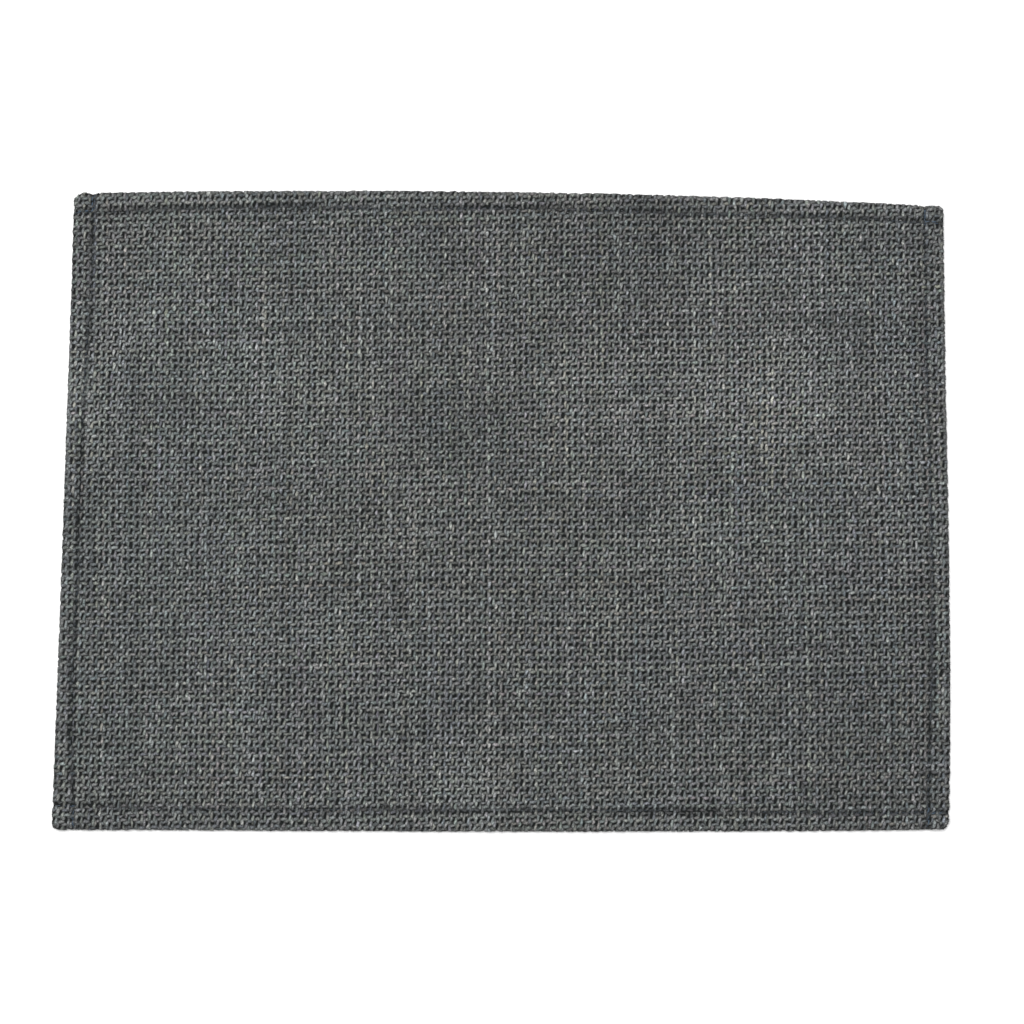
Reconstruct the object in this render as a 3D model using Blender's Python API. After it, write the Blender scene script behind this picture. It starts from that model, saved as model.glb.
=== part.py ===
"""Woven fabric placemat: one panel of thick cloth with its four edges turned under and stitched.

The long side runs along X, the mat lies flat with its underside at Z = 0, and the origin is the
middle of its footprint on the table. Sizes are in millimetres until the mesh is made in metres.
"""

import math

import bmesh
import bpy

METRES = 0.001             # metres in a millimetre

# Driving dimensions, in millimetres.
LENGTH = 457.2             # nominal long side, 18 inches
WIDTH = 330.2              # nominal short side, 13 inches
CLOTH = 2.0                # one layer of the cloth
HEM = 3.6                  # two layers, pressed together by the stitching
HEM_WIDTH = 11.0           # outer fold to the raw edge of the layer turned under
STITCH_INSET = 9.0         # outer fold to the line of stitching
SLOPE_END = 18.0           # where the panel lies flat on the table again
CORNER_SHARE = 0.45        # of a second hem's extra height, where two hems cross
FIELD_COLUMNS = 10
FIELD_ROWS = 7
SHARP_ANGLE = math.radians(60)
CLOTH_COLOUR = (0.102, 0.109, 0.107, 1.0)
CLOTH_ROUGHNESS = 0.9

# A hand-hemmed mat isn't a true rectangle. Each side, measured outwards from the nominal
# rectangle: shift moves all of it, lean swings it about its middle, bow bends its middle out,
# and sway is a slight S. Sides are read towards +X or +Y.
SIDES = {
    # side      shift  lean   bow  sway
    "left":    (0.2,  -1.4, -0.2,  0.1),
    "right":   (-0.7, -0.5,  1.1,  1.4),
    "bottom":  (-0.8, -2.7,  1.0, -0.6),
    "top":     (-2.6, -2.1,  4.1, -0.5),
}

# Radius of each turned corner.
CORNER_RADIUS = {
    ("left", "top"): 4.7,
    ("right", "top"): 2.6,
    ("left", "bottom"): 3.1,
    ("right", "bottom"): 4.0,
}

# Cross-section of a hem, from the outer fold towards the middle of the mat: how far in, how
# much of the fold's full thickness stands there, the height that the hem adds to the cloth,
# and how far the underside is lifted off the table beyond the raw edge.
LAYER = HEM - CLOTH
HEM_SECTION = [
    # inset             fullness  added         lifted
    (0.0,               0.00,     LAYER,        0.0),
    (0.35,              0.52,     LAYER,        0.0),
    (1.3,               0.90,     LAYER,        0.0),
    (3.0,               1.00,     LAYER + 0.1,  0.0),
    (STITCH_INSET - 2,  1.00,     LAYER - 0.2,  0.0),
    (STITCH_INSET - 1,  1.00,     LAYER - 0.5,  0.0),
    (STITCH_INSET,      1.00,     LAYER - 0.9,  0.0),
    (STITCH_INSET + 1,  1.00,     LAYER - 0.7,  0.0),
    (HEM_WIDTH,         1.00,     LAYER - 0.7,  0.0),
    (HEM_WIDTH + 0.2,   1.00,     LAYER - 0.7,  0.8),
    (HEM_WIDTH + 3,     1.00,     0.35,         0.3),
    (SLOPE_END,         1.00,     0.0,          0.0),
]
INSET, FULLNESS, ADDED, LIFTED = range(4)


def clear_scene():
    for item in list(bpy.data.objects):
        bpy.data.objects.remove(item)


def side_reach(side, along):
    """How far a side lies from the middle of the mat, where along runs from -1 to 1."""
    half = (LENGTH if side in ("left", "right") else WIDTH) / 2
    shift, lean, bow, sway = SIDES[side]
    return half + shift + lean * along + bow * (1 - along ** 2) + sway * (along ** 3 - along)


def stations(half, field_count):
    """Places of the mesh lines from -1 to 1: close together over the hems, even between them."""
    hem = [1 - row[INSET] / half for row in HEM_SECTION]
    flat = hem[-1]
    field = [flat * (2 * step / field_count - 1) for step in range(1, field_count)]
    return [-place for place in hem] + field + hem[::-1]


def section(inset, column):
    """A column of the hem's cross-section at an inset, straight between its rows."""
    for near, far in zip(HEM_SECTION, HEM_SECTION[1:]):
        if inset <= far[INSET]:
            share = (inset - near[INSET]) / (far[INSET] - near[INSET])
            return near[column] + share * (far[column] - near[column])
    return HEM_SECTION[-1][column]


def plan_point(across, up):
    """Where a place on the nominal rectangle, given from -1 to 1 each way, lies on the mat."""
    left, right = -side_reach("left", up), side_reach("right", up)
    bottom, top = -side_reach("bottom", across), side_reach("top", across)
    x = left + (right - left) * (across + 1) / 2
    y = bottom + (top - bottom) * (up + 1) / 2
    return x, y


def rounded(across, up):
    """Draw the places near a corner in, so that its square rings become arcs."""
    radius = CORNER_RADIUS["right" if across > 0 else "left", "top" if up > 0 else "bottom"]
    in_x = radius - (1 - abs(across)) * LENGTH / 2
    in_y = radius - (1 - abs(up)) * WIDTH / 2
    if in_x <= 0 or in_y <= 0:
        return across, up
    pull = 1 - max(in_x, in_y) / math.hypot(in_x, in_y)
    across -= math.copysign(in_x * pull * 2 / LENGTH, across)
    up -= math.copysign(in_y * pull * 2 / WIDTH, up)
    return across, up


def heights(across, up):
    """Underside and top of the cloth at a place on the nominal rectangle."""
    inset_x = (1 - abs(across)) * LENGTH / 2
    inset_y = (1 - abs(up)) * WIDTH / 2
    smaller, larger = sorted((section(inset_x, ADDED), section(inset_y, ADDED)))
    top = CLOTH + larger + CORNER_SHARE * smaller
    under = max(section(inset_x, LIFTED), section(inset_y, LIFTED))
    if min(inset_x, inset_y) <= HEM_WIDTH:
        under = 0.0
    fold_line = HEM / 2
    fullness = section(min(inset_x, inset_y), FULLNESS)
    return [fold_line + fullness * (height - fold_line) for height in (under, top)]


def add_face_of_cloth(mesh, columns, rows, is_top):
    """Add one face of the cloth as a grid, its lines closer together over the hems."""
    grid = bmesh.ops.create_grid(
        mesh, x_segments=len(columns) - 1, y_segments=len(rows) - 1, size=1.0)
    for vertex in grid["verts"]:
        column = round((vertex.co.x + 1) / 2 * (len(columns) - 1))
        row = round((vertex.co.y + 1) / 2 * (len(rows) - 1))
        across, up = columns[column], rows[row]
        x, y = plan_point(*rounded(across, up))
        z = heights(across, up)[is_top]
        vertex.co = (x * METRES, y * METRES, z * METRES)
    if not is_top:
        faces = {face for vertex in grid["verts"] for face in vertex.link_faces}
        bmesh.ops.reverse_faces(mesh, faces=list(faces))


def centre_on_footprint(mesh):
    """Put the origin in the middle of the mat's footprint."""
    xs = [vertex.co.x for vertex in mesh.verts]
    ys = [vertex.co.y for vertex in mesh.verts]
    middle = ((min(xs) + max(xs)) / 2, (min(ys) + max(ys)) / 2, 0.0)
    bmesh.ops.translate(mesh, verts=mesh.verts, vec=[-value for value in middle])


def make_material():
    material = bpy.data.materials.new("placemat_cloth")
    material.use_nodes = True
    shader = material.node_tree.nodes["Principled BSDF"]
    shader.inputs["Base Color"].default_value = CLOTH_COLOUR
    shader.inputs["Roughness"].default_value = CLOTH_ROUGHNESS
    shader.inputs["Metallic"].default_value = 0.0
    return material


def make_placemat(collection):
    mesh = bmesh.new()
    columns = stations(LENGTH / 2, FIELD_COLUMNS)
    rows = stations(WIDTH / 2, FIELD_ROWS)
    for is_top in (False, True):
        add_face_of_cloth(mesh, columns, rows, is_top)
    bmesh.ops.remove_doubles(mesh, verts=mesh.verts, dist=0.001 * METRES)
    centre_on_footprint(mesh)
    data = bpy.data.meshes.new("placemat_cloth")
    mesh.to_mesh(data)
    mesh.free()
    data.shade_smooth()
    data.set_sharp_from_angle(angle=SHARP_ANGLE)
    data.materials.append(make_material())
    placemat = bpy.data.objects.new("placemat_cloth", data)
    collection.objects.link(placemat)
    return placemat


def main():
    clear_scene()
    collection = bpy.data.collections.new("fabric_placemat")
    bpy.context.scene.collection.children.link(collection)
    make_placemat(collection)


main()
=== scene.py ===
"""Looks of the woven fabric placemat: strands, painted shade sheet, hem stitching, light and
camera.

Every strand of the cloth is laid in flat cloth coordinates, in millimetres from the middle of
the cut panel, and cloth_point() then folds the hems under and puts the panel on the table.
"""

import math

import bpy
import numpy as np
from mathutils import Matrix, Vector


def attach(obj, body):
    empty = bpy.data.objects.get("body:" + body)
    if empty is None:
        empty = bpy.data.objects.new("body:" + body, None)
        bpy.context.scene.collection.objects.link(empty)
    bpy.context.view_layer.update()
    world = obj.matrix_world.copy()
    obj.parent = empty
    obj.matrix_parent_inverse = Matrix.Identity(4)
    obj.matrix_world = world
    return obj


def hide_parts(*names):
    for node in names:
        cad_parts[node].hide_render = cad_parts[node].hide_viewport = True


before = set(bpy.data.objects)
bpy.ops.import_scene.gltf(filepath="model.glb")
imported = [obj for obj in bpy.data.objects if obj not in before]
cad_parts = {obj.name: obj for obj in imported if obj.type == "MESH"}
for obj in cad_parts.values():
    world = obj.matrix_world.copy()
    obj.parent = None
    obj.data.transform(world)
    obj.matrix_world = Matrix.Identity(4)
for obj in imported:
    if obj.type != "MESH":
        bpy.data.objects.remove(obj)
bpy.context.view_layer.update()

NODE = "placemat_cloth"
BODY = "root"
METRES = 0.001
SEEDS = {"strands": 20, "stitches": 21, "mottles": 23, "drift": 27}

# The panel, with the same sizes as the solid, in millimetres.
LENGTH = 457.2
WIDTH = 330.2
CLOTH = 2.0                # one layer
HEM = 3.6                  # two layers, pressed together
HEM_WIDTH = 11.0           # outer fold to the raw edge of the layer turned under
STITCH_INSET = 9.0         # outer fold to the stitching, typically
SLOPE_END = 18.0           # where the panel lies flat on the table again
CORNER_SHARE = 0.45        # of a second hem's extra height, where two hems cross
FOLD_RADIUS = 0.8          # of the middle of the cloth, round the outer fold
FOLD_BULGE = 0.85          # of the loosely laid strands, out past the pressed fold
FOLD_REACH = 2.2           # where strands lie flatter and wider, pulled round the outer fold
FOLD_FLATTENING = 0.5      # of their rise there, as a share
FOLD_WIDENING = 0.15       # of the strands themselves there, as a share
HALF_LENGTH = LENGTH / 2
HALF_WIDTH = WIDTH / 2

# Each side, measured outwards from the nominal rectangle: shift moves all of it, lean swings it
# about its middle, bow bends its middle out, and sway is a slight S.
SIDES = {
    # side      shift  lean   bow  sway
    "left":    (0.2,  -1.4, -0.2,  0.1),
    "right":   (-0.7, -0.5,  1.1,  1.4),
    "bottom":  (-0.8, -2.7,  1.0, -0.6),
    "top":     (-2.6, -2.1,  4.1, -0.5),
}
CORNER_RADIUS = np.array([
    # left  right
    [3.1,   4.0],          # bottom
    [4.7,   2.6],          # top
])
LAYER = HEM - CLOTH
ADDED_BY_HEM = np.array([
    # inset             added height
    (-0.5,              LAYER - 0.6),
    (1.0,               LAYER - 0.3),
    (3.0,               LAYER + 0.1),
    (STITCH_INSET - 2,  LAYER),
    (STITCH_INSET,      LAYER - 0.3),
    (HEM_WIDTH,         LAYER - 0.6),
    (HEM_WIDTH + 3,     0.35),
    (SLOPE_END,         0.0),
])

# The stitching: how far in it runs, read along each side towards +X or +Y, and the furrow that
# it presses into the top.
SEAM_INSET = {
    "left":    (11.0,  8.3,  7.5,  8.6,  8.0,  7.9,  9.2, 10.4, 10.4),
    "right":   (10.8, 10.2,  8.9,  8.6,  8.6,  8.5,  9.4,  9.3, 10.0),
    "bottom":  (12.8, 10.3, 10.3, 10.6, 10.3, 10.5,  9.8,  8.9,  8.6),
    "top":     (10.3,  9.0,  8.3,  9.2,  8.3,  8.9,  9.4,  8.6,  9.3),
}
FURROW_DEPTH = 1.1
FURROW_REACH = 1.1
SQUEEZE = 0.4              # of the strands' rise under the stitches, as a share
PINCH = 0.5                # how far a side's seam draws in the top edge that it runs off
PINCH_REACH = 2.2

# The weave: pairs of strands over and under pairs, in a chequerboard. Warp runs along Y.
PITCH = {"warp": 3.157, "weft": 3.697}     # from one pair to the next
WARP_TURN = math.radians(0.80)             # anticlockwise from +Y
WEFT_TURN = math.radians(1.60)             # anticlockwise from +X
LATTICE_START = (2.5, 0.0)                 # a crossing of two pairs' middles
DRIFT = 0.3                                # typical drift of the whole lattice
DRIFT_WAVES = 8                            # that add up to it
DRIFT_LENGTH = (70, 220)                   # of one wave
DRIFT_TURN = 6.28                          # radians that its direction and start may turn

# One strand of a pair over one repeat, in millimetres from the middle of the square where the
# pair lies on top: the left warp, with along towards +Y and aside towards +X, and the upper
# weft, with along towards +X and aside towards +Y. The other strand of each pair is the same
# turned half a turn.
FORM = {
    #    along  aside   rise  breadth
    "warp": np.array([
        (-3.09, -0.93, -0.64, 0.93),       # under the crossing pair
        (-0.71, -1.43,  0.10, 0.86),       # the float's lower end
        (1.35,  -0.94,  0.54, 1.20),       # its crest
        (2.50,  -1.05,  0.04, 0.92),       # its upper end
    ]),
    "weft": np.array([
        (-1.92,  1.28,  0.14, 0.88),       # the float's left end
        (-0.62,  1.14,  0.46, 1.18),       # its crest
        (0.98,   1.48,  0.04, 0.74),       # its right end
        (3.24,   1.05, -0.64, 0.99),       # under the crossing pair
    ]),
}
HALF_WIDE = {"warp": 0.69, "weft": 0.77}
HALF_THICK = 0.32
SPARE_PAIRS = 10           # past the cut edges, so that the leaning lattice covers the panel
FEWEST_POINTS = 6          # on the cloth; a strand with no more of them is left out
FOLD_MARGIN = 0.5          # built with halfway points, on each side of a fold
PIECES_EACH_WAY = 4

# How far a strand's points typically stray, in millimetres, and how much its bulk varies.
STRAY = {"aside": 0.18, "along": 0.26, "rise": 0.10}
STRAND_BULK = 0.04

# Soft changes along a strand, as (length, size) with lengths in its points, four to a repeat:
# aside in millimetres, and of bulk, tone and tint as shares.
SWAY_ALONG = ((12.0, 0.12),)
BULK_ALONG = ((6.0, 0.06), (1.0, 0.10))
TONE_ALONG = ((30.0, 0.10), (10.0, 0.08), (2.5, 0.16))
TINT_ALONG = ((60.0, 0.8), (16.0, 0.9), (3.0, 0.4))

# Tones are powers of e that a strand's colour is multiplied by.
FAMILY_TONE = {"warp": 0.07, "weft": -0.07}
STRAND_TONE = {"warp": 0.11, "weft": 0.09}     # typically, from strand to strand
TONE_WARMTH = 1.2          # how much warmer lighter yarn is
SEAM_SHADE = 0.95          # painted shade where the stitching squeezes the strands together
SEAM_REACH = 0.95

# The mottling of the cloth: soft round patches at random, and how much they change the tone.
MOTTLES = 60
MOTTLE_RADIUS = (11, 36)
MOTTLE_TONE = 0.11

# Broad differences of tone and tint over the mat, in millimetres from its middle.
BROAD_PATCHES = np.array([
    #  x     y   radius  tone
    (0,    160,  40,  -0.15),              # darker at the middle of the top edge
    (170,  -90,  45,  -0.12),              # darker at the lower right
    (100,  100,  60,   0.10),              # lighter at the upper right
])
BROAD_TINTS = np.array([
    #  x     y   radius  warmth  greenness
    (-230,   0,  140,  -0.70,   0.40),     # cooler and greener towards the left edge
    (0,      0,  110,   0.60,   0.00),     # warmer in the middle
    (230,    0,  140,  -0.30,  -0.20),     # a little cooler towards the right edge
])

# Pairs that run through as lighter or darker streaks.
STREAKS = {
    #         place   tone
    "warp": ((-32.5,  0.14), (-9.2, 0.12), (16.7, -0.12), (37.4, 0.12), (60.6, -0.12)),
    "weft": ((-48.8,  0.16), (24.0, 0.10), (96.0, -0.10)),
}

# The stitches, in millimetres.
STITCH_PITCH = 3.2
STITCH_LENGTH = 2.6
STITCH_RISE = 0.65         # off the middle of the cloth
STITCH_STRAY = 0.05        # of that rise, typically
STITCH_FORM = np.array([
    # along  aside   rise
    (-0.50,  -0.15, -0.55),
    (-0.32,  -0.10,  0.10),
    (0.00,    0.00,  0.35),
    (0.32,    0.10,  0.10),
    (0.50,    0.15, -0.55),
])
ALONG, ASIDE, RISE = range(3)              # along is a share of a stitch's length
THREAD_RADIUS = 0.26
SEAM_END = 0.6             # from the last stitch to the edge that the seam runs off
SEAM_WAVER = 0.2
SEAM_WAVER_LENGTH = 6.0    # in stitches
SUNK_DROP = 0.25           # of the stitches that lie down in the furrow
# Painted shade on the stitches that lie down in the furrow.
SUNK_SHADE = 1.3
SECURED_LENGTH = 8.0       # sewn twice over, at both ends of each seam
SECURED_SUNK = 0.4         # how far the first of the two lies down in the furrow, as a share
SECOND_SHIFT = 0.4         # of the second, back along the seam, as a share of the pitch
SECOND_ASIDE = 0.45

# The painted shade sheet's mesh lines: their places in from the outer fold, and their number
# round it.
SHADE_SHEET_STEP = 8.0
SHADE_SHEET_INSETS = (SLOPE_END, HEM_WIDTH + 3, HEM_WIDTH, STITCH_INSET, 7.0, 4.0)
SHADE_SHEET_TURN_LINES = 7
SHADE_SHEET_LAST_STRIP = 4.0    # along the raw edge
SHADE_SHEET_DEPTH = 0.4         # inside the fold, below the middle of the cloth

# Colours along a noise from 0 to 1.
YARN_COLOURS = [
    # place  red    green  blue
    (0.36, (0.019, 0.022, 0.022)),
    (0.50, (0.074, 0.079, 0.078)),
    (0.66, (0.189, 0.194, 0.191)),
]
# Near black: painted shade, for the sheet seen down between the strands.
SHADE_SHEET_COLOURS = [
    (0.3, (0.007, 0.008, 0.008)),
    (0.7, (0.016, 0.018, 0.018)),
]
THREAD_COLOURS = [
    (0.3, (0.024, 0.043, 0.068)),
    (0.7, (0.062, 0.100, 0.146)),
]
WARMTH_TINT = {"red": 0.023, "blue": -0.028}
GREENNESS_TINT = {"red": -0.013, "green": 0.015, "blue": -0.013}
TWIST = {"yarn": 1.1, "thread": 5.0}       # radians a millimetre
NOISES = {
    #         stretch          scale  detail  roughness
    "fibres": ((0.75, 1.6, 1.6), 1.5, 4.0, 0.65),
    "fuzz":   ((2.2, 3.0, 3.0),  1.6, 3.0, 0.7),
    "plies":  ((0.6, 2.0, 2.0),  1.2, 2.0, 0.5),
    "flecks": ((1.0, 1.0, 1.0),  900.0, 3.0, 0.6),
}
RELIEF = {"fibres": 0.7, "fuzz": 0.3}      # shares of the yarn's relief
BUMPS = {
    #         strength, distance in metres
    "yarn":   (0.8, 0.0004),
    "shade_sheet": (0.5, 0.0003),
    "thread": (0.6, 0.0001),
}
OWN_START = 997.0          # how far the noise of one strand may start from another's

# Painted shade and light in the yarn's colour: how it goes darker down into the hollows and
# towards a strand's own sides, and lighter on its crests and middle: the range of the height or
# of the squared place aside, and what it is turned into.
HEIGHT_SHADE = (0.06, 0.80, 0.24, 1.70)
SIDE_SHADE = (0.0, 1.0, 1.34, 0.28)
YARN_ROUGHNESS = (0.2, 0.8, 0.92, 0.78)    # likewise, against the noise of its fibres

# The camera: at the photograph's distance, a little towards the near long side.
CAMERA_DISTANCE = 1.20
CAMERA_TILT = math.radians(4.9)
CAMERA_SIDE = math.radians(1.05)
CAMERA_ROLL = math.radians(0.60)
CAMERA_AIM = (0.0045, -0.0013, 0.0016)
CAMERA_LENS = 81.5         # millimetres, with the sensor below
CAMERA_SENSOR = 36.0

# The stage, in metres and watts.
FLOOR_SIZE = 6.0
FLOOR_LEVEL = -0.0003      # just clear of the lowest strands
FLOOR_COLOUR = (0.92, 0.92, 0.92, 1)
WORLD_STRENGTH = 0.50
SOFTBOX_PLACE = (-0.25, 0.45, 1.9)
SOFTBOX_SIZE = (1.6, 1.2)
SOFTBOX_POWER = 42.0


# ---------------------------------------------------------------- shape of the laid cloth

def side_reach(side, along):
    """How far a side lies from the middle of the mat, where along runs from -1 to 1."""
    half = HALF_LENGTH if side in ("left", "right") else HALF_WIDTH
    shift, lean, bow, sway = SIDES[side]
    along = np.clip(along, -1, 1)
    return half + shift + lean * along + bow * (1 - along ** 2) + sway * (along ** 3 - along)


def plan_point(x, y):
    """Where a place on the nominal rectangle lies on the mat, before its corners are rounded."""
    across, up = x / HALF_LENGTH, y / HALF_WIDTH
    left, right = -side_reach("left", up), side_reach("right", up)
    bottom, top = -side_reach("bottom", across), side_reach("top", across)
    return left + (right - left) * (across + 1) / 2, bottom + (top - bottom) * (up + 1) / 2


def find_footprint_middle():
    """The middle of the mat's footprint, which is the frame's origin."""
    along = np.linspace(-1, 1, 401)        # fine enough to find how far each side reaches
    x_of_sides = np.concatenate([-side_reach("left", along), side_reach("right", along)])
    y_of_sides = np.concatenate([-side_reach("bottom", along), side_reach("top", along)])
    return (x_of_sides.min() + x_of_sides.max()) / 2, (y_of_sides.min() + y_of_sides.max()) / 2


FOOTPRINT_MIDDLE = find_footprint_middle()


def rounded(x, y):
    """Draw the places near a corner in, so that its square rings become arcs."""
    radius = CORNER_RADIUS[(y > 0).astype(int), (x > 0).astype(int)]
    in_x = radius - (HALF_LENGTH - np.abs(x))
    in_y = radius - (HALF_WIDTH - np.abs(y))
    at_corner = (in_x > 0) & (in_y > 0)
    in_x, in_y = np.where(at_corner, in_x, 0), np.where(at_corner, in_y, 0)
    reach = np.maximum(np.hypot(in_x, in_y), 1e-9)     # which is never divided by as zero
    pull = np.where(at_corner, 1 - np.maximum(in_x, in_y) / reach, 0)
    return x - np.sign(x) * in_x * pull, y - np.sign(y) * in_y * pull


def nominal_place(x, y):
    """The flat cloth's own coordinates of a place on the uneven, unfolded mat."""
    place_x, place_y = x, y
    for _ in range(3):                     # each round brings it closer
        near_x = np.clip(place_x, -HALF_LENGTH, HALF_LENGTH)
        near_y = np.clip(place_y, -HALF_WIDTH, HALF_WIDTH)
        laid_x, laid_y = plan_point(near_x, near_y)
        place_x, place_y = x - (laid_x - near_x), y - (laid_y - near_y)
    return place_x, place_y


def fold_start(half):
    """How far from the middle the top layer's middle starts to turn under."""
    return half + FOLD_BULGE - CLOTH / 2 - FOLD_RADIUS


def fold(flat, half):
    """Fold a flat coordinate round the mat's outer edge: its place, and how far it has turned."""
    start = fold_start(half)
    past = np.abs(flat) - start
    turn = np.clip(past / FOLD_RADIUS, 0, math.pi)
    beyond = np.maximum(past - math.pi * FOLD_RADIUS, 0)
    folded = start + FOLD_RADIUS * np.sin(turn) - beyond
    return np.sign(flat) * np.where(past > 0, folded, np.abs(flat)), turn


def flat_half(half):
    """Half the cut size of the panel, with its hem allowance."""
    start = fold_start(half)
    return start + math.pi * FOLD_RADIUS + HEM_WIDTH - (half - start)


FLAT_HALF_LENGTH = flat_half(HALF_LENGTH)
FLAT_HALF_WIDTH = flat_half(HALF_WIDTH)


def seam_inset(side, along, half):
    """How far in a side's stitching runs, at places along that side."""
    return np.interp(along, np.linspace(-half, half, len(SEAM_INSET[side])), SEAM_INSET[side])


def off_seams(x, y):
    """How far inside the short sides' seams, and the long sides', a place on the mat lies."""
    insets_x = [seam_inset(side, y, HALF_WIDTH) for side in ("left", "right")]
    insets_y = [seam_inset(side, x, HALF_LENGTH) for side in ("bottom", "top")]
    return (HALF_LENGTH - np.abs(x) - np.where(x < 0, *insets_x),
            HALF_WIDTH - np.abs(y) - np.where(y < 0, *insets_y))


def cloth_point(flat_x, flat_y, rise):
    """A point of the laid mat, from its place on the flat cloth and its rise off the middle."""
    x, turn_x = fold(flat_x, HALF_LENGTH)
    y, turn_y = fold(flat_y, HALF_WIDTH)
    added_x = np.interp(HALF_LENGTH - np.abs(x), *ADDED_BY_HEM.T)
    added_y = np.interp(HALF_WIDTH - np.abs(y), *ADDED_BY_HEM.T)
    added = np.maximum(added_x, added_y) + CORNER_SHARE * np.minimum(added_x, added_y)
    off_x, off_y = off_seams(x, y)
    squeezed = np.exp(-(np.minimum(np.abs(off_x), np.abs(off_y)) / FURROW_REACH) ** 2)
    added = added - FURROW_DEPTH * squeezed
    rise = rise * (1 - SQUEEZE * squeezed)
    facing_up = np.cos(turn_x) * np.cos(turn_y)
    z = CLOTH / 2 * (1 - SQUEEZE / 2 * squeezed) + added / 2 * (1 + facing_up) + rise * facing_up
    x = x + np.sign(flat_x) * rise * np.sin(turn_x)
    y = y + np.sign(flat_y) * rise * np.sin(turn_y)
    near_edge = np.exp(np.minimum(y - HALF_WIDTH, 0) * 2 / STITCH_INSET)
    y = y - PINCH * near_edge * np.exp(-(off_x / PINCH_REACH) ** 2)
    x, y = plan_point(*rounded(x, y))
    return np.stack([x - FOOTPRINT_MIDDLE[0], y - FOOTPRINT_MIDDLE[1], z], axis=-1)


def is_cloth(flat_x, flat_y, runs_along_x):
    """Whether there is cloth at a flat place, for a strand that runs along X or along Y."""
    start_x, start_y = fold_start(HALF_LENGTH), fold_start(HALF_WIDTH)
    half_turn = math.pi / 2 * FOLD_RADIUS
    past_x, past_y = np.abs(flat_x) - start_x, np.abs(flat_y) - start_y
    inside = (np.abs(flat_x) < FLAT_HALF_LENGTH) & (np.abs(flat_y) < FLAT_HALF_WIDTH)
    if runs_along_x:
        under_hem = (past_y > half_turn) & (past_x > 0)
        in_corner = (past_y > -HEM_WIDTH) & (past_x > 2 * math.pi * FOLD_RADIUS)
        return inside & ~under_hem & ~in_corner
    return inside & ~((past_x > half_turn) & (past_y > 0))


# ---------------------------------------------------------------- mesh making

def add_mesh(name, vertices, faces, material, point_data=None, loop_uv=None):
    """A smooth mesh object from arrays: vertices in millimetres, and faces of four corners."""
    mesh = bpy.data.meshes.new(name)
    mesh.vertices.add(len(vertices))
    mesh.vertices.foreach_set("co", (vertices * METRES).astype(np.float32).ravel())
    mesh.loops.add(faces.size)
    mesh.loops.foreach_set("vertex_index", faces.astype(np.int32).ravel())
    mesh.polygons.add(len(faces))
    mesh.polygons.foreach_set("loop_start", np.arange(0, faces.size, 4, dtype=np.int32))
    mesh.polygons.foreach_set("use_smooth", np.ones(len(faces), dtype=bool))
    for key, values in (point_data or {}).items():
        is_vector = values.ndim == 2
        layer = mesh.attributes.new(key, "FLOAT_VECTOR" if is_vector else "FLOAT", "POINT")
        layer.data.foreach_set("vector" if is_vector else "value",
                               values.astype(np.float32).ravel())
    if loop_uv is not None:
        layer = mesh.uv_layers.new(name="OFBake")
        layer.data.foreach_set("uv", loop_uv.astype(np.float32).ravel())
    mesh.update(calc_edges=True)
    mesh.validate()
    mesh.materials.append(material)
    made = bpy.data.objects.new(name, mesh)
    bpy.context.scene.collection.objects.link(made)
    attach(made, BODY)
    return made


RING = 4                   # corners of a strand's section, anticlockwise
RING_SIDE = np.array([-1.0, 1.0, 1.0, -1.0])
RING_UP = np.array([-1.0, -1.0, 1.0, 1.0])
SHADES = ("tone", "warmth", "greenness", "own_start")

# The bake map gives each strand a band across it, and each wall a strip along that band.
WALL_STRIP = 0.24
BAND_MARGIN = 0.02
CAP_ALONG = np.array([0.0, 0.4, 0.4, 0.0])
CAP_ACROSS = np.array([0.1, 0.1, 0.9, 0.9])


def join_rings(keep):
    """Walls and end caps of tubes through the kept points, with their places in the bake map."""
    strands, points = keep.shape
    strand, point = np.nonzero(keep)
    joined = (strand[1:] == strand[:-1]) & (point[1:] - point[:-1] <= 2)
    near = np.nonzero(joined)[0]
    corner, next_corner = np.arange(RING), (np.arange(RING) + 1) % RING
    ring = np.arange(len(strand))[:, None] * RING
    walls = np.stack([ring[near] + corner, ring[near] + next_corner,
                      ring[near + 1] + next_corner, ring[near + 1] + corner], -1)
    low = (strand[near][:, None] + corner * WALL_STRIP + BAND_MARGIN) / strands
    high = low + WALL_STRIP / strands
    start = np.broadcast_to(point[near][:, None] / points, low.shape)
    end = np.broadcast_to(point[near + 1][:, None] / points, low.shape)
    wall_uv = np.stack([np.stack([start, start, end, end], -1),
                        np.stack([low, high, high, low], -1)], -1)

    first = np.nonzero(np.append(joined, False) & ~np.insert(joined, 0, False))[0]
    last = np.nonzero(np.insert(joined, 0, False) & ~np.append(joined, False))[0]
    caps = np.concatenate([ring[first] + corner[::-1], ring[last] + corner])
    ends = np.concatenate([first, last])
    cap_uv = np.stack([(point[ends][:, None] + CAP_ALONG) / points,
                       (strand[ends][:, None] + CAP_ACROSS) / strands], -1)
    return (np.concatenate([walls.reshape(-1, 4), caps]),
            np.concatenate([wall_uv.reshape(-1, 4, 2), cap_uv]))


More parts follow.
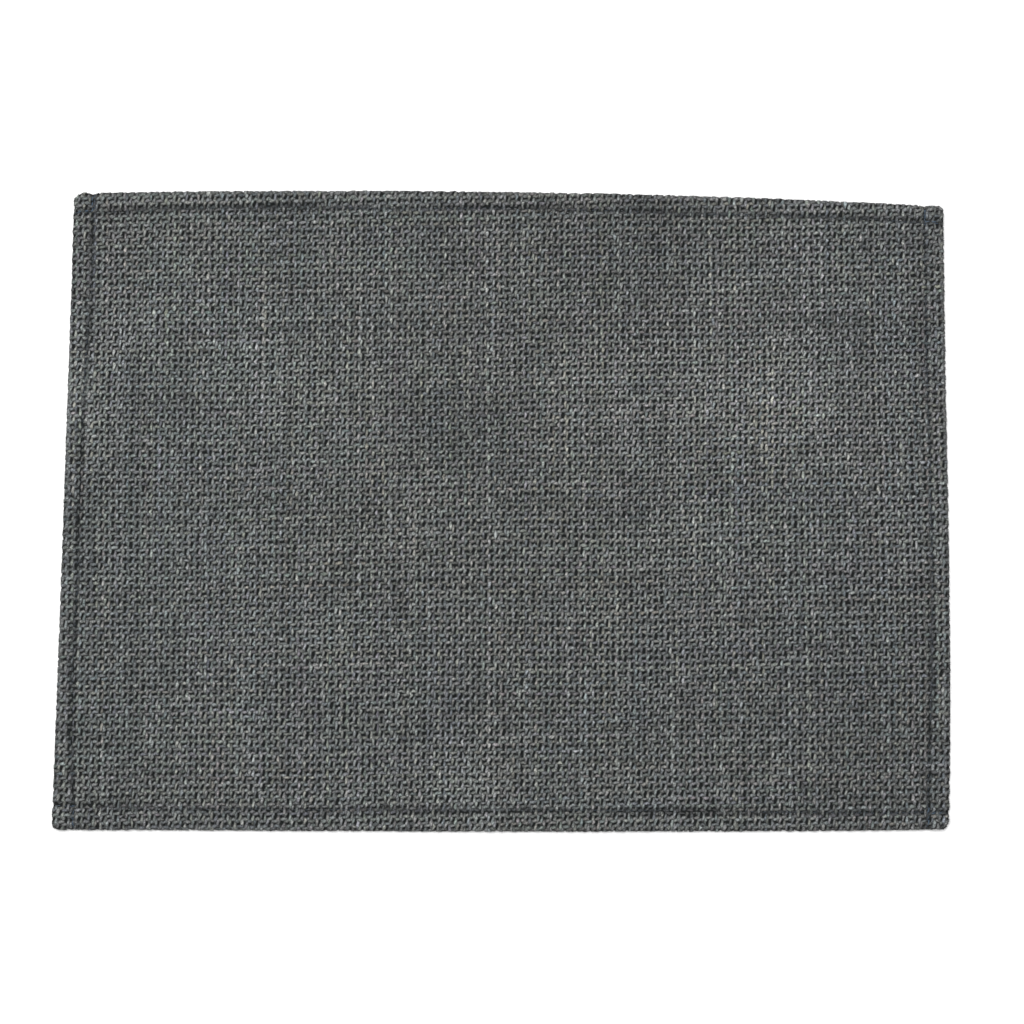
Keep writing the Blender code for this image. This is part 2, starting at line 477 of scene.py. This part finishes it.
def add_tubes(name, tubes, keep, runs_along_x, material):
    """Join tubes into one mesh, from arrays of their paths, half sizes and shades.

    Each array has a row for a tube and a column for a point, and keep says which are built.
    """
    side = RING_SIDE * tubes["half_wide"][..., None]
    flat_x = tubes["flat_x"][..., None] + (0 if runs_along_x else side)
    flat_y = tubes["flat_y"][..., None] + (side if runs_along_x else 0)
    rise = tubes["rise"][..., None] + RING_UP * tubes["half_thick"][..., None]
    along = tubes["flat_x" if runs_along_x else "flat_y"][..., None]
    vertices = cloth_point(flat_x, flat_y, rise)[keep].reshape(-1, 3)
    yarn = np.stack(np.broadcast_arrays(along, RING_SIDE, RING_UP), -1)[keep].reshape(-1, 3)
    point_data = {"yarn": yarn, "rise": rise[keep].ravel()}
    for shade in SHADES:
        if shade in tubes:
            values = np.broadcast_to(tubes[shade][..., None], rise.shape)
            point_data[shade] = values[keep].ravel()

    faces, uv = join_rings(keep)
    if not runs_along_x:
        faces, uv = faces[:, ::-1], uv[:, ::-1]
    return add_mesh(name, vertices, faces, material, point_data, uv)


def seam_painted_shade(flat_x, flat_y):
    """Painted shade along the lines of stitching, on both faces of the mat."""
    off_x, off_y = off_seams(fold(flat_x, HALF_LENGTH)[0], fold(flat_y, HALF_WIDTH)[0])
    off = np.minimum(np.abs(off_x), np.abs(off_y))
    return -SEAM_SHADE * np.exp(-(off / SEAM_REACH) ** 2)


def sum_of_patches(patches, x, y):
    """Soft round patches added up: a field for each column of their table after the radius."""
    total = np.zeros((patches.shape[1] - 3,) + x.shape)
    for patch_x, patch_y, radius, *changes in patches:
        share = np.exp(-((x - patch_x) ** 2 + (y - patch_y) ** 2) / radius ** 2)
        total += np.array(changes)[:, None, None] * share
    return total


def mottling(x, y):
    """Small random patches of lighter and darker cloth, all over the mat."""
    random = np.random.default_rng(SEEDS["mottles"])
    patches = np.stack([
        random.uniform(-HALF_LENGTH, HALF_LENGTH, MOTTLES),
        random.uniform(-HALF_WIDTH, HALF_WIDTH, MOTTLES),
        random.uniform(*MOTTLE_RADIUS, MOTTLES),
        random.normal(0, MOTTLE_TONE, MOTTLES)], -1)
    return sum_of_patches(patches, x, y)[0]


def smooth_noise(random, strands, steps, stretch):
    """Soft random wandering along each strand, about 1 high, over some stretch of steps."""
    knots = int(math.ceil(steps / stretch)) + 3
    values = random.normal(0, 1, (strands, knots))
    place = np.arange(steps) / stretch
    low = place.astype(int)
    share = place - low
    share = share * share * (3 - 2 * share)
    return values[:, low] * (1 - share) + values[:, low + 1] * share


def unevenness(random, shape, changes):
    """Soft random changes along each strand, added up from rows of (length, size)."""
    return sum(size * smooth_noise(random, *shape, length) for length, size in changes)


# ---------------------------------------------------------------- materials

class Nodes:
    """A short way to write a material's node tree."""

    def __init__(self, name):
        self.material = bpy.data.materials.new(name)
        self.material.use_nodes = True
        self.tree = self.material.node_tree
        self.shader = self.tree.nodes["Principled BSDF"]

    def put(self, value, socket):
        """Link a socket's output, or set a plain value."""
        if isinstance(value, bpy.types.NodeSocket):
            self.tree.links.new(value, socket)
        else:
            socket.default_value = value

    def add(self, kind, inputs=(), **settings):
        node = self.tree.nodes.new("ShaderNode" + kind)
        for key, value in settings.items():
            setattr(node, key, value)
        for key, value in dict(inputs).items():
            self.put(value, node.inputs[key])
        return node

    def math(self, operation, *values):
        return self.add("Math", dict(enumerate(values)), operation=operation).outputs[0]

    def vector_math(self, operation, *values):
        return self.add("VectorMath", dict(enumerate(values)), operation=operation).outputs[0]

    def attribute(self, name, output="Fac"):
        return self.add("Attribute", attribute_name=name).outputs[output]

    def noise(self, place, kind):
        stretch, scale, detail, roughness = NOISES[kind]
        stretched = self.vector_math("MULTIPLY", place, stretch)
        inputs = {"Vector": stretched, "Scale": scale, "Detail": detail, "Roughness": roughness}
        return self.add("TexNoise", inputs, noise_dimensions="3D").outputs["Fac"]

    def bump(self, height, kind):
        strength, distance = BUMPS[kind]
        inputs = {"Height": height, "Strength": strength, "Distance": distance}
        return self.add("Bump", inputs).outputs["Normal"]

    def remap(self, value, low, high, to_low, to_high):
        inputs = {"Value": value, "From Min": low, "From Max": high,
                  "To Min": to_low, "To Max": to_high}
        return self.add("MapRange", inputs).outputs["Result"]

    def ramp(self, value, stops):
        node = self.add("ValToRGB", {"Fac": value})
        elements = node.color_ramp.elements
        while len(elements) < len(stops):
            elements.new(1.0)
        for element, (place, colour) in zip(elements, stops):
            element.position = place
            element.color = (*colour, 1.0)
        return node.outputs["Color"]

    def vector(self, x=0.0, y=0.0, z=0.0):
        return self.add("CombineXYZ", {"X": x, "Y": y, "Z": z}).outputs["Vector"]

    def twisted(self, yarn, along, twist):
        """A place in a yarn, turned about its length as far as the yarn's twist has come."""
        angle = self.math("MULTIPLY", along, twist)
        return self.add("VectorRotate", {"Vector": yarn, "Axis": (1.0, 0.0, 0.0), "Angle": angle},
                        rotation_type="AXIS_ANGLE").outputs["Vector"]

    def multiplied(self, first, second):
        """Two colours, or a colour and a vector, multiplied together."""
        node = self.add("Mix", data_type="RGBA", blend_type="MULTIPLY")
        sockets = {"Factor": 1.0, "A": first, "B": second}
        for socket in node.inputs:
            if socket.enabled and socket.name in sockets:
                self.put(sockets[socket.name], socket)
        return next(socket for socket in node.outputs if socket.enabled)

    def finish(self, **inputs):
        for key, value in inputs.items():
            self.put(value, self.shader.inputs[key.replace("_", " ")])
        return self.material


def make_yarn_material():
    """Melange yarn: grey-blue fibres, strand-wise tints, streaks, twist and painted shade in
    hollows.
    """
    nodes = Nodes("melange_yarn")
    yarn = nodes.attribute("yarn", "Vector")
    split = nodes.add("SeparateXYZ", {"Vector": yarn})
    along, side = split.outputs["X"], split.outputs["Y"]
    turned = nodes.twisted(yarn, along, TWIST["yarn"])
    own_start = nodes.math("MULTIPLY", nodes.attribute("own_start"), OWN_START)
    on_strand = nodes.vector_math("ADD", turned, nodes.vector(x=own_start))
    fibres, fuzz = nodes.noise(on_strand, "fibres"), nodes.noise(on_strand, "fuzz")

    warmth, greenness = nodes.attribute("warmth"), nodes.attribute("greenness")
    red, blue = (
        nodes.math("ADD", nodes.math("MULTIPLY_ADD", warmth, WARMTH_TINT[channel], 1.0),
                   nodes.math("MULTIPLY", greenness, GREENNESS_TINT[channel]))
        for channel in ("red", "blue"))
    green = nodes.math("MULTIPLY_ADD", greenness, GREENNESS_TINT["green"], 1.0)
    colour = nodes.multiplied(nodes.ramp(fibres, YARN_COLOURS), nodes.vector(red, green, blue))

    # Painted shade and light: darker in the hollows and at each strand's sides, lighter on its
    # crests.
    height = nodes.math("ABSOLUTE", nodes.attribute("rise"))
    side_squared = nodes.math("MULTIPLY", side, side)
    tone = nodes.math("EXPONENT", nodes.attribute("tone"))
    tone = nodes.math("MULTIPLY", tone, nodes.remap(height, *HEIGHT_SHADE))
    tone = nodes.math("MULTIPLY", tone, nodes.remap(side_squared, *SIDE_SHADE))
    colour = nodes.multiplied(colour, nodes.vector(tone, tone, tone))

    relief = nodes.math("ADD", nodes.math("MULTIPLY", fibres, RELIEF["fibres"]),
                        nodes.math("MULTIPLY", fuzz, RELIEF["fuzz"]))
    return nodes.finish(
        Base_Color=colour, Roughness=nodes.remap(fibres, *YARN_ROUGHNESS),
        Normal=nodes.bump(relief, "yarn"), Sheen_Weight=0.15, Sheen_Roughness=0.5,
        Specular_IOR_Level=0.25)


def make_shade_sheet_material():
    """A near-black sheet of painted shade, seen only down between the strands."""
    nodes = Nodes("painted_shade_sheet")
    flecks = nodes.noise(nodes.add("TexCoord").outputs["Object"], "flecks")
    return nodes.finish(
        Base_Color=nodes.ramp(flecks, SHADE_SHEET_COLOURS), Roughness=0.95,
        Normal=nodes.bump(flecks, "shade_sheet"), Specular_IOR_Level=0.1)


def make_thread_material():
    """Dark navy sewing thread with a fine twist; sunk stitches get painted shade."""
    nodes = Nodes("navy_thread")
    yarn = nodes.attribute("yarn", "Vector")
    along = nodes.add("SeparateXYZ", {"Vector": yarn}).outputs["X"]
    plies = nodes.noise(nodes.twisted(yarn, along, TWIST["thread"]), "plies")
    tone = nodes.math("EXPONENT", nodes.attribute("tone"))
    colour = nodes.multiplied(nodes.ramp(plies, THREAD_COLOURS), nodes.vector(tone, tone, tone))
    return nodes.finish(
        Base_Color=colour, Roughness=0.6, Normal=nodes.bump(plies, "thread"), Sheen_Weight=0.1)


# ---------------------------------------------------------------- the cloth

def wander(x, y):
    """A slow drift of the lattice over the mat, alike for strands that lie together."""
    random = np.random.default_rng(SEEDS["drift"])
    drift = np.zeros((2,) + x.shape)
    for _ in range(DRIFT_WAVES):
        length = random.uniform(*DRIFT_LENGTH)
        direction = random.uniform(0, DRIFT_TURN)
        starts = random.uniform(0, DRIFT_TURN, 2)
        wave = (x * math.cos(direction) + y * math.sin(direction)) * 2 * math.pi / length
        drift += DRIFT / 2 * np.sin(wave + starts[:, None, None])
    return drift


def halfway(values):
    """Put a point halfway between each two points of every strand."""
    made = np.empty((values.shape[0], 2 * values.shape[1] - 1))
    made[:, ::2] = values
    made[:, 1::2] = (values[:, :-1] + values[:, 1:]) / 2
    return made


def repeated_form(family, pairs, repeats):
    """Along, aside, rise and breadth of both strands of each pair, for a number of repeats."""
    as_stands = np.tile([family == "warp", family == "weft"], pairs)
    turned_form = FORM[family][::-1] * (-1, -1, 1, 1)
    form = np.where(as_stands[:, None, None], FORM[family], turned_form)
    return [np.tile(column, (1, repeats)) for column in np.moveaxis(form, -1, 0)]


def lattice(family, pairs, cross_pairs, random):
    """The strands of one family: their flat paths, half sizes and shades, point by point."""
    is_weft = family == "weft"
    cross_pitch = PITCH["warp" if is_weft else "weft"]
    pair = np.repeat(np.arange(pairs) - pairs // 2, 2)
    repeats = cross_pairs // 2 + 1
    along, aside, rise, breadth = repeated_form(family, pairs, repeats)
    square = 2 * np.repeat(np.arange(repeats) - repeats // 2, len(FORM[family]))
    first_square = (pair + is_weft) % 2
    shape, by_strand = along.shape, (len(pair), 1)

    own = (PITCH[family] * pair[:, None] + aside + unevenness(random, shape, SWAY_ALONG)
           + random.normal(0, STRAY["aside"], shape))
    cross = (cross_pitch * (square + first_square[:, None]) + along
             + random.normal(0, STRAY["along"], shape))
    rise = rise + random.normal(0, STRAY["rise"], shape)
    bulk = 1 + random.normal(0, STRAND_BULK, by_strand) + unevenness(random, shape, BULK_ALONG)
    half_wide, half_thick = HALF_WIDE[family] * breadth * bulk, HALF_THICK * bulk
    rise = np.clip(rise, -CLOTH / 2 + half_thick, CLOTH / 2 - half_thick)
    tone = (random.normal(FAMILY_TONE[family], STRAND_TONE[family], by_strand)
            + unevenness(random, shape, TONE_ALONG))
    for place, change in STREAKS[family]:
        tone[np.abs(PITCH[family] * pair - place) < PITCH[family] / 2] += change
    warmth, greenness = (unevenness(random, shape, TINT_ALONG) for _ in range(2))

    u, v = (cross, own) if is_weft else (own, cross)
    x = u * math.cos(WEFT_TURN) - v * math.sin(WARP_TURN) + LATTICE_START[0]
    y = u * math.sin(WEFT_TURN) + v * math.cos(WARP_TURN) + LATTICE_START[1]
    drift_x, drift_y = wander(x, y)
    flat_x, flat_y = nominal_place(x + drift_x, y + drift_y)
    past = np.maximum(np.abs(flat_x) - HALF_LENGTH, np.abs(flat_y) - HALF_WIDTH)
    stretched = np.exp(-(past / FOLD_REACH) ** 2)
    rise = rise * (1 - FOLD_FLATTENING * stretched)
    half_wide = half_wide * (1 + FOLD_WIDENING * stretched)
    tone = tone + sum_of_patches(BROAD_PATCHES, x, y)[0] + mottling(x, y)
    # Painted shade along the lines of stitching.
    tone = tone + seam_painted_shade(flat_x, flat_y)
    more_warmth, more_greenness = sum_of_patches(BROAD_TINTS, x, y)
    warmth = warmth + TONE_WARMTH * tone + more_warmth
    greenness = greenness + more_greenness
    made = {"flat_x": flat_x, "flat_y": flat_y, "rise": rise, "half_wide": half_wide,
            "half_thick": half_thick, "tone": tone, "warmth": warmth, "greenness": greenness}
    return {key: halfway(values) for key, values in made.items()}


def is_kept(flat_x, flat_y, runs_along_x):
    """Points of a strand to build: its form's own, and those halfway where it folds under."""
    along, half = (flat_x, HALF_LENGTH) if runs_along_x else (flat_y, HALF_WIDTH)
    past = np.abs(along) - fold_start(half)
    at_fold = (past > -FOLD_MARGIN) & (past < math.pi * FOLD_RADIUS + FOLD_MARGIN)
    of_form = np.arange(along.shape[1]) % 2 == 0
    return is_cloth(flat_x, flat_y, runs_along_x) & (of_form | at_fold)


def make_strands(material):
    """The woven strands of both families, each in a few pieces."""
    random = np.random.default_rng(SEEDS["strands"])
    pieces = []
    warps = int(2 * FLAT_HALF_LENGTH / PITCH["warp"]) + SPARE_PAIRS
    wefts = int(2 * FLAT_HALF_WIDTH / PITCH["weft"]) + SPARE_PAIRS
    for family, pairs, cross_pairs in (("warp", warps, wefts), ("weft", wefts, warps)):
        runs_along_x = family == "weft"
        strands = lattice(family, pairs, cross_pairs, random)
        keep = is_kept(strands["flat_x"], strands["flat_y"], runs_along_x)
        strands["own_start"] = random.random((len(keep), 1))
        shown = np.nonzero(keep.sum(axis=1) > FEWEST_POINTS)[0]
        for number, rows in enumerate(np.array_split(shown, PIECES_EACH_WAY), start=1):
            piece = {key: values[rows] for key, values in strands.items()}
            pieces.append(add_tubes(
                f"{family}_strands_{number}", piece, keep[rows], runs_along_x, material))
    return pieces


def shade_sheet_lines(half, flat):
    """Places of the shade sheet's mesh lines: even over the field, and closer together at a hem.
    """
    turn = fold_start(half) + FOLD_RADIUS * np.linspace(0, math.pi, SHADE_SHEET_TURN_LINES)
    hem = half - np.array(SHADE_SHEET_INSETS)
    field = np.arange(0, half - SLOPE_END - SHADE_SHEET_STEP / 2, SHADE_SHEET_STEP)
    outward = np.concatenate([field[1:], hem, turn, [flat - SHADE_SHEET_LAST_STRIP, flat]])
    return np.concatenate([-outward[::-1], [0.0], outward])


def make_shade_sheet(material):
    """A thin dark sheet of painted shade between the strands, on the panel's own folds."""
    xs = shade_sheet_lines(HALF_LENGTH, FLAT_HALF_LENGTH)
    ys = shade_sheet_lines(HALF_WIDTH, FLAT_HALF_WIDTH)
    flat_x, flat_y = np.meshgrid(xs, ys)
    start_x, start_y = fold_start(HALF_LENGTH), fold_start(HALF_WIDTH)
    at_fold = (np.abs(flat_x) > start_x) | (np.abs(flat_y) > start_y)
    rise = np.where(at_fold, -SHADE_SHEET_DEPTH, 0.0)
    vertices = cloth_point(flat_x, flat_y, rise).reshape(-1, 3)
    index = np.arange(flat_x.size).reshape(flat_x.shape)
    faces = np.stack([index[:-1, :-1], index[:-1, 1:], index[1:, 1:], index[1:, :-1]], -1)
    middle_x = (np.abs(xs[:-1]) + np.abs(xs[1:]))[None, :] / 2
    middle_y = (np.abs(ys[:-1]) + np.abs(ys[1:]))[:, None] / 2
    half_turn = math.pi / 2 * FOLD_RADIUS
    cut_away = (middle_x > start_x + half_turn) & (middle_y > start_y + half_turn)
    faces = faces[~cut_away].reshape(-1, 4)
    used, renumbered = np.unique(faces, return_inverse=True)
    shade_sheet = add_mesh("cloth_shade_sheet", vertices[used], renumbered.reshape(-1, 4), material)
    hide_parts(NODE)
    return shade_sheet


def seam_stitches(half):
    """One seam's stitches: their middles along it, how far beside it they lie, and how sunk."""
    reach = half - SEAM_END
    run = np.arange(-reach + STITCH_PITCH / 2, reach, STITCH_PITCH)
    secured = reach - np.abs(run) < SECURED_LENGTH
    second = run[secured] - SECOND_SHIFT * STITCH_PITCH * np.sign(run[secured])
    centres = np.concatenate([run, second])
    beside = np.concatenate([np.zeros(len(run)), np.full(len(second), SECOND_ASIDE)])
    sunk = np.concatenate([np.where(secured, SECURED_SUNK, 1.0), np.zeros(len(second))])
    return centres, beside, sunk


def make_stitches(material):
    """One line of stitches along each side, top and underside, sewn from edge to edge."""
    random = np.random.default_rng(SEEDS["stitches"])
    pieces = []
    for name, runs_along_x, half, across_half, sides in (
            ("side_stitches", False, HALF_WIDTH, HALF_LENGTH, ("left", "right")),
            ("long_stitches", True, HALF_LENGTH, HALF_WIDTH, ("bottom", "top"))):
        centres, beside, sunk = seam_stitches(half)
        rows = []
        for direction, side in zip((-1, 1), sides):
            on_top = across_half - seam_inset(side, centres, half) + beside
            underneath = 2 * fold_start(across_half) + math.pi * FOLD_RADIUS - on_top
            for place in (on_top, underneath):
                waver = SEAM_WAVER * smooth_noise(
                    random, 1, len(centres), SEAM_WAVER_LENGTH)[0]
                rows.append((centres, direction * place + waver, sunk))
        along, across, sunk = (np.concatenate(column)[:, None] for column in zip(*rows))
        along = along + STITCH_FORM[:, ALONG] * STITCH_LENGTH
        across = across + STITCH_FORM[:, ASIDE]
        rise = STITCH_FORM[:, RISE] + STITCH_RISE - SUNK_DROP * sunk + random.normal(
            0, STITCH_STRAY, (len(along), 1))
        radius = np.full(along.shape, THREAD_RADIUS)
        # Sunk stitches get painted shade through their tone.
        stitches = {
            "flat_x": along if runs_along_x else across,
            "flat_y": across if runs_along_x else along,
            "rise": rise, "half_wide": radius, "half_thick": radius,
            "own_start": random.random((len(along), 1)), "tone": -SUNK_SHADE * sunk}
        keep = np.ones(along.shape, dtype=bool)
        pieces.append(add_tubes(name, stitches, keep, runs_along_x, material))
    return pieces


# ---------------------------------------------------------------- stage

def make_floor():
    bpy.ops.mesh.primitive_plane_add(size=FLOOR_SIZE, location=(0, 0, FLOOR_LEVEL))
    floor = bpy.context.object
    floor.name = "floor"
    material = bpy.data.materials.new("floor")
    material.use_nodes = True
    shader = material.node_tree.nodes["Principled BSDF"]
    shader.inputs["Base Color"].default_value = FLOOR_COLOUR
    shader.inputs["Roughness"].default_value = 1.0
    shader.inputs["Specular IOR Level"].default_value = 0.0
    floor.data.materials.append(material)


def make_light():
    world = bpy.data.worlds.new("studio")
    bpy.context.scene.world = world
    world.use_nodes = True
    background = world.node_tree.nodes["Background"]
    background.inputs["Color"].default_value = (1.0, 1.0, 1.0, 1)
    background.inputs["Strength"].default_value = WORLD_STRENGTH
    lamp = bpy.data.lights.new("softbox", "AREA")
    lamp.shape = "RECTANGLE"
    lamp.size, lamp.size_y = SOFTBOX_SIZE
    lamp.energy = SOFTBOX_POWER
    softbox = bpy.data.objects.new("softbox", lamp)
    softbox.location = SOFTBOX_PLACE
    aim = -softbox.location                # at the middle of the mat
    softbox.rotation_euler = aim.to_track_quat("-Z", "Y").to_euler()
    bpy.context.scene.collection.objects.link(softbox)


def make_camera():
    data = bpy.data.cameras.new("camera")
    data.sensor_width = CAMERA_SENSOR
    data.lens = CAMERA_LENS
    camera = bpy.data.objects.new("camera", data)
    bpy.context.scene.collection.objects.link(camera)
    back = Vector((math.sin(CAMERA_SIDE), -math.sin(CAMERA_TILT), 0.0))
    back.z = math.sqrt(1 - back.length_squared)
    up = Vector((-math.sin(CAMERA_ROLL), math.cos(CAMERA_ROLL), 0.0))
    right = up.cross(back).normalized()
    up = back.cross(right)
    place = Vector(CAMERA_AIM) + back * CAMERA_DISTANCE
    camera.matrix_world = Matrix((
        (right.x, up.x, back.x, place.x),
        (right.y, up.y, back.y, place.y),
        (right.z, up.z, back.z, place.z),
        (0, 0, 0, 1),
    ))
    bpy.context.scene.camera = camera


def main():
    bpy.context.scene.view_settings.view_transform = "Standard"
    make_camera()
    make_light()
    make_floor()
    strands = make_strands(make_yarn_material())
    shade_sheet = make_shade_sheet(make_shade_sheet_material())
    stitches = make_stitches(make_thread_material())


main()
